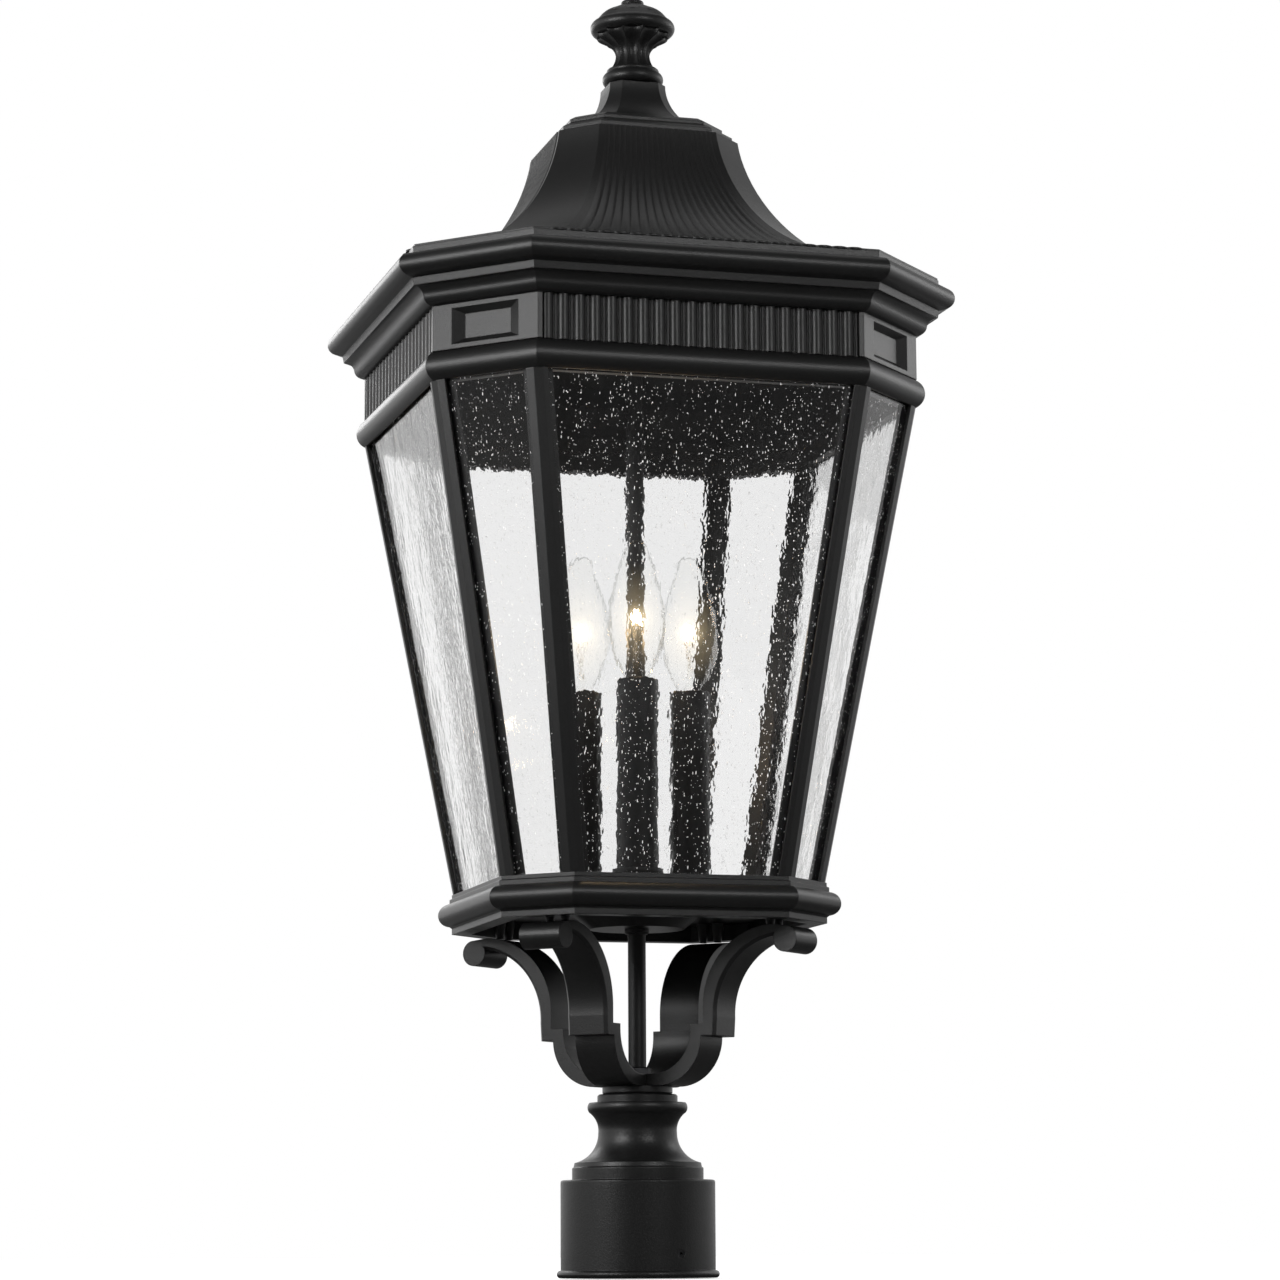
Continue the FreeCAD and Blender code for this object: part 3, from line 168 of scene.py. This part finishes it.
def seeded_glass(name):
    """Clear sheet glass with a slow wave, a short ripple, small seeds and thin upright streaks."""
    material = new_material(name)
    tree = material.node_tree
    place = place_coordinate(tree)
    wave = noise_at(tree, squeeze(tree, place, 0.7), 24 * MM, 1.0)
    ripple = noise_at(tree, squeeze(tree, place, 0.5), 4.2 * MM, 2.0)
    dots = spots(tree, squeeze(tree, place, 0.7), 1.7 * MM, 0.08 * MM, 0.31 * MM)
    streaks = spots(tree, squeeze(tree, place, 0.15), 1.5 * MM, 0.06 * MM, 0.27 * MM)
    seeds = math_node(tree, "MAXIMUM", dots, streaks)
    normal = bump(tree, wave, 0.45 * MM)
    normal = bump(tree, ripple, 0.1 * MM, normal)
    normal = bump(tree, seeds, 0.3 * MM, normal)
    glass = add_node(tree, "BsdfGlass", {"Color": (0.985, 0.985, 0.985, 1), "Roughness": 0.0, "IOR": 1.47,
                                         "Normal": normal})
    clear = add_node(tree, "BsdfTransparent", {"Color": (0.95, 0.95, 0.95, 1)})
    milky = add_node(tree, "BsdfDiffuse", {"Color": (0.85, 0.85, 0.85, 1)})
    through = add_node(tree, "BsdfTranslucent", {"Color": (0.6, 0.6, 0.6, 1)})
    seed = add_node(tree, "AddShader", {0: milky.outputs[0], 1: through.outputs[0]})
    path = add_node(tree, "LightPath")
    passing = math_node(tree, "MAXIMUM", path.outputs["Is Shadow Ray"], path.outputs["Is Diffuse Ray"])
    sheet = add_node(tree, "MixShader", {
        0: math_node(tree, "MULTIPLY", seeds, 0.85), 1: glass.outputs[0], 2: seed.outputs[0]})
    shader = add_node(tree, "MixShader", {0: passing, 1: sheet.outputs[0], 2: clear.outputs[0]})
    add_output(tree, shader.outputs[0])
    return material


def blown_glass(name):
    """Thin clear bulb glass: seen by its gloss and by a painted darker line where it turns away, painted
    shade in its see-through colour.
    """
    material = new_material(name)
    tree = material.node_tree
    place = place_coordinate(tree)
    normal = bump(tree, noise_at(tree, place, 14 * MM, 1.0), 0.25 * MM)
    turned_away = add_node(tree, "LayerWeight", {"Blend": 0.5, "Normal": normal}).outputs["Facing"]
    # Painted shade: the see-through colour turns darker towards the rim, as a drawn outline.
    painted_rim_shade = math_node(tree, "POWER", turned_away, 12.0)
    clear = add_node(tree, "BsdfTransparent", {
        "Color": mix_colours(tree, painted_rim_shade, (0.99, 0.99, 0.985, 1), (0.88, 0.88, 0.87, 1))})
    gloss = add_node(tree, "BsdfGlossy", {"Color": (1, 1, 1, 1), "Roughness": 0.04, "Normal": normal})
    fresnel = add_node(tree, "Fresnel", {"IOR": 1.12, "Normal": normal}).outputs[0]
    share = math_node(tree, "MULTIPLY", fresnel, 0.4)
    shader = add_node(tree, "MixShader", {0: share, 1: clear.outputs[0], 2: gloss.outputs[0]})
    add_output(tree, shader.outputs[0])
    return material


def metal(name, dark, light, roughness, grain, depth):
    """Bare or plated metal with fine turning marks and dull patches."""
    material = new_material(name)
    tree = material.node_tree
    place = place_coordinate(tree)
    patches = noise_at(tree, place, grain * 8, 3.0)
    marks = noise_at(tree, add_node(tree, "Mapping", {"Vector": place, "Scale": (1.0, 1.0, 12.0)}).outputs[0],
                     grain * 4, 2.0)
    colour = mix_colours(tree, remap(tree, patches, 0.3, 0.7, 0, 1), dark, light)
    shader = add_node(tree, "BsdfPrincipled", {
        "Base Color": colour, "Metallic": 1.0,
        "Roughness": remap(tree, patches, 0.25, 0.75, roughness - 0.06, roughness + 0.1),
        "Normal": bump(tree, marks, depth)})
    add_output(tree, shader.outputs[0])
    return material


def dull_plastic(name, dark, light):
    material = new_material(name)
    tree = material.node_tree
    place = place_coordinate(tree)
    cloud = noise_at(tree, place, 6 * MM, 4.0)
    grain = noise_at(tree, place, 0.7 * MM, 2.0)
    shader = add_node(tree, "BsdfPrincipled", {
        "Base Color": mix_colours(tree, remap(tree, cloud, 0.3, 0.7, 0, 1), dark, light),
        "Roughness": remap(tree, grain, 0.3, 0.7, 0.5, 0.65),
        "Normal": bump(tree, grain, 0.05 * MM)})
    add_output(tree, shader.outputs[0])
    return material


def glowing(name, colour, strength):
    material = new_material(name)
    tree = material.node_tree
    place = place_coordinate(tree)
    flicker = remap(tree, noise_at(tree, place, 1.5 * MM, 1.0), 0.3, 0.7, strength * 0.8, strength * 1.2)
    add_output(tree, add_node(tree, "Emission", {"Color": colour, "Strength": flicker}).outputs[0])
    return material


def painted_glow_haze(name, middle_up, reach, strength, haze_reach, haze):
    """A painted glow round the filament: a clear body that shines most close to its middle, in a haze, though
    it is no lamp.
    """
    material = new_material(name)
    tree = material.node_tree
    ends = {0: place_coordinate(tree), 1: (0.0, 0.0, middle_up)}
    away = add_node(tree, "VectorMath", ends, operation="DISTANCE").outputs["Value"]
    near = math_node(tree, "POWER", remap(tree, away, 0.0, reach, 1.0, 0.0), 3.0)
    core = math_node(tree, "MULTIPLY", near, strength)
    wide = remap(tree, away, 0.0, haze_reach, haze, 0.0)
    # Painted glow: emission in the body that fills the bulb.
    glow = add_node(tree, "Emission", {
        "Color": (1.0, 0.80, 0.48, 1), "Strength": math_node(tree, "ADD", core, wide)})
    clear = add_node(tree, "BsdfTransparent", {"Color": (1, 1, 1, 1)})
    add_node(tree, "OutputMaterial", {"Surface": clear.outputs[0], "Volume": glow.outputs[0]})
    return material


COAT_DARK, COAT_LIGHT = (0.004, 0.004, 0.004, 1), (0.009, 0.009, 0.009, 1)
ZINC_DARK, ZINC_LIGHT = (0.05, 0.05, 0.052, 1), (0.12, 0.12, 0.125, 1)
SOCKET_DARK, SOCKET_LIGHT = (0.55, 0.53, 0.48, 1), (0.68, 0.66, 0.60, 1)
BRASS_DARK, BRASS_LIGHT = (0.55, 0.38, 0.14, 1), (0.75, 0.56, 0.26, 1)
WIRE_DARK, WIRE_LIGHT = (0.30, 0.28, 0.25, 1), (0.5, 0.47, 0.42, 1)
FINISHES = {
    "black_metal": powder_coat("black_powder_coat", COAT_DARK, COAT_LIGHT, 0.9 * MM, 0.08 * MM, 0.36),
    "candle_black": powder_coat("black_satin_paint", COAT_DARK, COAT_LIGHT, 1.6 * MM, 0.03 * MM, 0.36, 0.3),
    "pipe_metal": powder_coat("black_pipe_paint", COAT_DARK, COAT_LIGHT, 1.2 * MM, 0.05 * MM, 0.42),
    "zinc_steel": metal("black_zinc", ZINC_DARK, ZINC_LIGHT, 0.32, 1.5 * MM, 0.02 * MM),
    "seeded_glass": seeded_glass("seeded_sheet_glass"),
    "socket_body": dull_plastic("moulded_socket", SOCKET_DARK, SOCKET_LIGHT),
    "bulb_glass": blown_glass("bulb_glass"),
    "bulb_cap_brass": metal("cap_brass", BRASS_DARK, BRASS_LIGHT, 0.25, 1.2 * MM, 0.03 * MM),
    "filament_wire": metal("lead_wire", WIRE_DARK, WIRE_LIGHT, 0.3, 0.6 * MM, 0.01 * MM),
}
HOT_WIRE = glowing("hot_filament", (1.0, 0.66, 0.34, 1), 60.0)


def finish_nodes():
    """Every node carried over from the frame gets the finish of its slot."""
    for part in frame["record"]["subparts"]:
        mesh = frame["nodes"][part["node"]].data
        mesh.materials.clear()
        mesh.materials.append(FINISHES[part["material_slot"]])


# ---------------------------------------------------------------- panes

PANE_SETBACK = 0.8 * MM
PANE_NAMES = ["%s_pane_%d" % (kind, index + 1) for kind in ("wide", "narrow") for index in range(4)]


def set_back_pane(name):
    """The same pane, thinner by its outer face, which then lies further behind the posts."""
    node = frame["nodes"][name]
    mesh = node.data.copy()
    mesh.name = "set_back_" + name
    builder = bmesh.new()
    builder.from_mesh(mesh)
    bmesh.ops.remove_doubles(builder, verts=builder.verts, dist=0.01 * MM)
    builder.normal_update()
    outward = sum((vert.co for vert in builder.verts), Vector()).to_2d().to_3d()
    inward = -max((face.normal for face in builder.faces), key=outward.dot)
    outer = set()
    for face in builder.faces:
        if face.normal.dot(inward) < -0.99:
            outer.update(face.verts)
    for vert in outer:
        vert.co += inward * PANE_SETBACK
    builder.to_mesh(mesh)
    builder.free()
    piece = bpy.data.objects.new("set_back_" + name, mesh)
    piece.matrix_world = node.matrix_world
    bpy.context.scene.collection.objects.link(piece)
    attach(piece, "lantern")
    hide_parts(name)


# ---------------------------------------------------------------- lit bulbs

LIGHTS = 3
BULB_SIDES = 48
BULB_OUTLINE = (
    (6.6, 0.0), (6.9, 3.0), (9.0, 7.0), (11.6, 12.0), (13.9, 18.0), (15.2, 24.0), (15.7, 30.0), (15.5, 36.0),
    (14.7, 43.0), (13.2, 50.0), (11.3, 57.0), (9.3, 63.5), (7.7, 68.5), (6.3, 72.4), (4.6, 75.2),
    (2.4, 76.6), (0.3, 76.9))


def turned_mesh(name, outline):
    """A closed surface turned about Z from (radius, height) points in millimetres, lowest first."""
    builder = bmesh.new()
    turns = [2 * math.pi * side / BULB_SIDES for side in range(BULB_SIDES)]
    rings = []
    for radius, up in outline:
        out = radius * MM
        rings.append([builder.verts.new((out * math.cos(a), out * math.sin(a), up * MM)) for a in turns])
    for low, high in zip(rings, rings[1:]):
        for side in range(BULB_SIDES):
            after = (side + 1) % BULB_SIDES
            builder.faces.new((low[side], low[after], high[after], high[side]))
    builder.faces.new(reversed(rings[0]))
    builder.faces.new(rings[-1])
    mesh = bpy.data.meshes.new(name)
    builder.to_mesh(mesh)
    builder.free()
    for face in mesh.polygons:
        face.use_smooth = len(face.vertices) == 4
    return mesh


def wire(name, routes, radius):
    """Round wires along lists of points, as one curve."""
    curve = bpy.data.curves.new(name, "CURVE")
    curve.dimensions = "3D"
    curve.bevel_depth = radius
    curve.bevel_resolution = 2
    curve.use_fill_caps = True
    for points in routes:
        spline = curve.splines.new("POLY")
        spline.points.add(len(points) - 1)
        for spot, point in zip(spline.points, points):
            spot.co = (*point, 1.0)
    return curve


def add_piece(name, data, material, place, body):
    data.materials.append(material)
    piece = bpy.data.objects.new(name, data)
    piece.location = place
    bpy.context.scene.collection.objects.link(piece)
    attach(piece, body)
    return piece


STEM_OUTLINE = (
    (3.6, 0.1), (3.4, 1.0), (2.6, 5.0), (1.9, 10.0), (1.5, 14.0), (1.7, 16.0), (1.4, 18.0), (0.5, 19.0))
GAS_OUTLINE = (
    (5.5, 1.5), (8.5, 8.0), (12.5, 16.0), (14.8, 24.0), (15.0, 30.0), (14.0, 38.0), (11.5, 48.0),
    (8.0, 58.0), (4.0, 68.0))
LEAD_OUT = 2.3 * MM
LEAD_RADIUS = 0.16 * MM
COIL_LOW, COIL_HIGH = 30 * MM, 39 * MM
COIL_RADIUS = 0.42 * MM
COIL_WIRE_RADIUS = 0.13 * MM
COIL_TURNS = 26
COIL_STEPS = 10
COIL_ARCH = 1.6            # power of the arch that the coil follows over its support
LAMP_POWER = 0.06
LAMP_COLOUR = (1.0, 0.72, 0.42)
LAMP_RADIUS = 3 * MM
# The painted glow in each bulb.
GLOW = painted_glow_haze("painted_glow_haze", (COIL_LOW + COIL_HIGH) / 2, 12 * MM, 170.0, 30 * MM, 10.0)


def coil_route():
    """A fine coil that climbs from one lead over the middle support and down to the other."""
    points = []
    for step in range(COIL_TURNS * COIL_STEPS + 1):
        share = step / (COIL_TURNS * COIL_STEPS)
        turn = 2 * math.pi * step / COIL_STEPS
        along = (2 * share - 1) * LEAD_OUT
        up = COIL_LOW + (COIL_HIGH - COIL_LOW) * (1 - abs(2 * share - 1) ** COIL_ARCH)
        points.append((along + COIL_RADIUS * math.cos(turn), COIL_RADIUS * math.sin(turn), up))
    return points


def light_bulb(index):
    """One bulb: its glass, stem, lead and support wires, hot coil and glow."""
    body, number = "light_%d" % index, str(index)
    low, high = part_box("bulb_" + number)
    middle = Vector(((low[0] + high[0]) / 2, (low[1] + high[1]) / 2, low[2]))
    glass = turned_mesh("glass_" + number, BULB_OUTLINE)
    glass = add_piece("bulb_glass_" + number, glass, FINISHES["bulb_glass"], middle, body)
    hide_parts("bulb_" + number)
    stem = turned_mesh("stem_" + number, STEM_OUTLINE)
    stem = add_piece("glass_stem_" + number, stem, FINISHES["bulb_glass"], middle, body)
    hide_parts("filament_" + number)
    leads = [[(side * 0.8 * MM, 0, 10 * MM), (side * 0.9 * MM, 0, 19 * MM), (side * 1.6 * MM, 0, 24 * MM),
              (side * LEAD_OUT, 0, COIL_LOW)] for side in (-1, 1)]
    support = [(0, 0, 18 * MM), (0, 0, COIL_HIGH + 1.5 * MM), (0.8 * MM, 0, COIL_HIGH + 1.0 * MM)]
    add_piece("leads_" + number, wire("leads_" + number, leads + [support], LEAD_RADIUS),
              FINISHES["filament_wire"], middle, body)
    add_piece("coil_" + number, wire("coil_" + number, [coil_route()], COIL_WIRE_RADIUS),
              HOT_WIRE, middle, body)
    # The body in the bulb that carries the painted glow.
    gas = turned_mesh("gas_" + number, GAS_OUTLINE)
    add_piece("bulb_gas_" + number, gas, GLOW, middle, body)
    lamp = bpy.data.lights.new("lamp_" + number, "POINT")
    lamp.energy = LAMP_POWER
    lamp.color = LAMP_COLOUR
    lamp.shadow_soft_size = LAMP_RADIUS
    glow = bpy.data.objects.new("lamp_" + number, lamp)
    glow.location = middle + Vector((0, 0, (COIL_LOW + COIL_HIGH) / 2))
    bpy.context.scene.collection.objects.link(glow)


# ---------------------------------------------------------------- surroundings

FLOOR_SIZE = 14.0
FLOOR_DOWN = 0.5 * MM
DIFFUSE_LEVEL = 0.8          # the world's strength as a light
FLOOR_LIFT = 0.45            # added to the floor for the camera, up to white
FLOOR_LIFT_IN_GLASS = 0.25   # the same, seen through glass


def studio_world():
    """White for the camera and through glass. Gloss sees white behind and at the sides, where it is
    low, and dark in front and above."""
    world = bpy.data.worlds.new("studio")
    world.use_nodes = True
    tree = world.node_tree
    tree.nodes.clear()
    path = add_node(tree, "LightPath")
    axes = add_node(tree, "SeparateXYZ", {0: add_node(tree, "TexCoord").outputs["Generated"]}).outputs
    front_glow = math_node(tree, "MULTIPLY", smooth(tree, axes["Z"], -0.02, 0.24, 0.02, 0.15),
                           smooth(tree, axes["Z"], 0.3, 0.7, 1.0, 0.3))
    walls = math_node(tree, "MULTIPLY", smooth(tree, axes["X"], 0.0, 1.0, 1.0, 0.75),
                      smooth(tree, axes["Z"], 0.25, 0.75, 1.0, 0.12))
    gloss = blend(tree, smooth(tree, axes["Y"], -0.8, 0.0, 0.0, 1.0), front_glow, walls)
    glossed = math_node(tree, "GREATER_THAN", path.outputs["Glossy Depth"], 0.5)
    seen = math_node(tree, "MAXIMUM", path.outputs["Is Camera Ray"], path.outputs["Is Transmission Ray"])
    level = blend(tree, glossed, blend(tree, seen, DIFFUSE_LEVEL, 1.0), gloss)
    background = add_node(tree, "Background", {"Color": (1.0, 1.0, 1.0, 1), "Strength": level})
    add_node(tree, "OutputWorld", {"Surface": background.outputs[0]})
    bpy.context.scene.world = world


def white_floor():
    """A pale floor that still takes the lantern's shadow. Gloss sees it dark near the front, and
    lighter at the back and far out at the sides."""
    mesh = bpy.data.meshes.new("floor")
    builder = bmesh.new()
    bmesh.ops.create_grid(builder, x_segments=8, y_segments=8, size=FLOOR_SIZE / 2)
    builder.to_mesh(mesh)
    builder.free()
    floor = bpy.data.objects.new("floor", mesh)
    floor.location.z = -FLOOR_DOWN
    bpy.context.scene.collection.objects.link(floor)
    material = new_material("pale_floor")
    tree = material.node_tree
    place = place_coordinate(tree)
    drift = noise_at(tree, place, 0.4, 2.0)
    diffuse = add_node(tree, "BsdfDiffuse", {
        "Color": mix_colours(tree, drift, (0.84, 0.84, 0.84, 1), (0.87, 0.87, 0.87, 1))})
    path = add_node(tree, "LightPath")
    seen = math_node(tree, "ADD", math_node(tree, "MULTIPLY", path.outputs["Is Camera Ray"], FLOOR_LIFT),
                     math_node(tree, "MULTIPLY", path.outputs["Is Transmission Ray"], FLOOR_LIFT_IN_GLASS))
    lift = add_node(tree, "Emission", {"Color": (1, 1, 1, 1), "Strength": seen})
    plain = add_node(tree, "AddShader", {0: diffuse.outputs[0], 1: lift.outputs[0]})
    axes = add_node(tree, "SeparateXYZ", {0: place}).outputs
    reach = add_node(tree, "VectorMath", {0: place}, operation="LENGTH").outputs["Value"]
    sideways = math_node(tree, "DIVIDE", axes["X"], reach)
    sides = math_node(tree, "MAXIMUM", remap(tree, sideways, 0.2, 1.0, 0.12, 0.55),
                      remap(tree, sideways, -0.2, -1.0, 0.12, 0.3))
    far = math_node(tree, "MULTIPLY", smooth(tree, reach, 1.1, 1.9, 0.0, 1.0), sides)
    level = math_node(tree, "MAXIMUM", smooth(tree, axes["Y"], -0.2, 1.2, 0.03, 0.25), far)
    mirrored = add_node(tree, "Emission", {"Color": (1, 1, 1, 1), "Strength": level})
    glossed = math_node(tree, "GREATER_THAN", path.outputs["Glossy Depth"], 0.5)
    shader = add_node(tree, "MixShader", {0: glossed, 1: plain.outputs[0], 2: mirrored.outputs[0]})
    add_output(tree, shader.outputs[0])
    mesh.materials.append(material)


FRIEZE = (0.0, 0.0, 0.49)


def soft_light(name, place, size, power, target=(0, 0, 0.4)):
    """A flat lamp that points at target. The lamp itself isn't seen, directly or through glass."""
    light = bpy.data.lights.new(name, "AREA")
    light.shape = "RECTANGLE"
    light.size, light.size_y = size
    light.energy = power
    lamp = bpy.data.objects.new(name, light)
    lamp.location = place
    lamp.visible_camera = False
    lamp.visible_transmission = False
    lamp.rotation_mode = "QUATERNION"
    lamp.rotation_quaternion = (Vector(target) - Vector(place)).to_track_quat("-Z", "Y")
    bpy.context.scene.collection.objects.link(lamp)


CAMERA_TURN = -0.27284
CAMERA_DISTANCE = 2.09829
CAMERA_HEIGHT = 0.01442
CAMERA_PITCH = 0.15631
CAMERA_ROLL = -0.00485
CAMERA_ASIDE = 0.00122
FOCAL_LENGTH = 108.98
SENSOR_WIDTH = 36.0
CLIP_START, CLIP_END = 0.05, 50


def photo_camera():
    """The camera at the photograph's viewing angle, a little below the lantern and to its left."""
    data = bpy.data.cameras.new("camera")
    data.sensor_width = SENSOR_WIDTH
    data.lens = FOCAL_LENGTH
    data.clip_start, data.clip_end = CLIP_START, CLIP_END
    camera = bpy.data.objects.new("camera", data)
    spot = CAMERA_TURN + CAMERA_ASIDE
    ahead = Vector((-math.sin(CAMERA_TURN), math.cos(CAMERA_TURN), 0))
    right = Vector((math.cos(CAMERA_TURN), math.sin(CAMERA_TURN), 0))
    up = Vector((0, 0, 1))
    forward = ahead * math.cos(CAMERA_PITCH) + up * math.sin(CAMERA_PITCH)
    above = -ahead * math.sin(CAMERA_PITCH) + up * math.cos(CAMERA_PITCH)
    across = right * math.cos(CAMERA_ROLL) + above * math.sin(CAMERA_ROLL)
    above = -right * math.sin(CAMERA_ROLL) + above * math.cos(CAMERA_ROLL)
    turn = Matrix((across, above, -forward)).transposed().to_4x4()
    place = Vector((math.sin(spot), -math.cos(spot), 0)) * CAMERA_DISTANCE
    place.z = CAMERA_HEIGHT
    camera.matrix_world = Matrix.Translation(place) @ turn
    bpy.context.scene.collection.objects.link(camera)
    bpy.context.scene.camera = camera


finish_nodes()
for name in PANE_NAMES:
    set_back_pane(name)
for index in range(LIGHTS):
    light_bulb(index + 1)
studio_world()
white_floor()
soft_light("top", (0.2, 0.6, 2.8), (1.8, 1.8), 5)
soft_light("box_left", (-1.14, -0.58, 0.64), (0.7, 0.5), 7.5, FRIEZE)
soft_light("box_back_left", (-0.50, 1.80, 1.04), (0.9, 0.34), 3.2, FRIEZE)
soft_light("box_front", (0.50, -1.80, 0.90), (0.8, 0.4), 6, FRIEZE)
soft_light("box_right", (1.25, 0.35, 0.80), (0.5, 0.4), 1.3, FRIEZE)
photo_camera()
bpy.context.scene.view_settings.view_transform = "Standard"
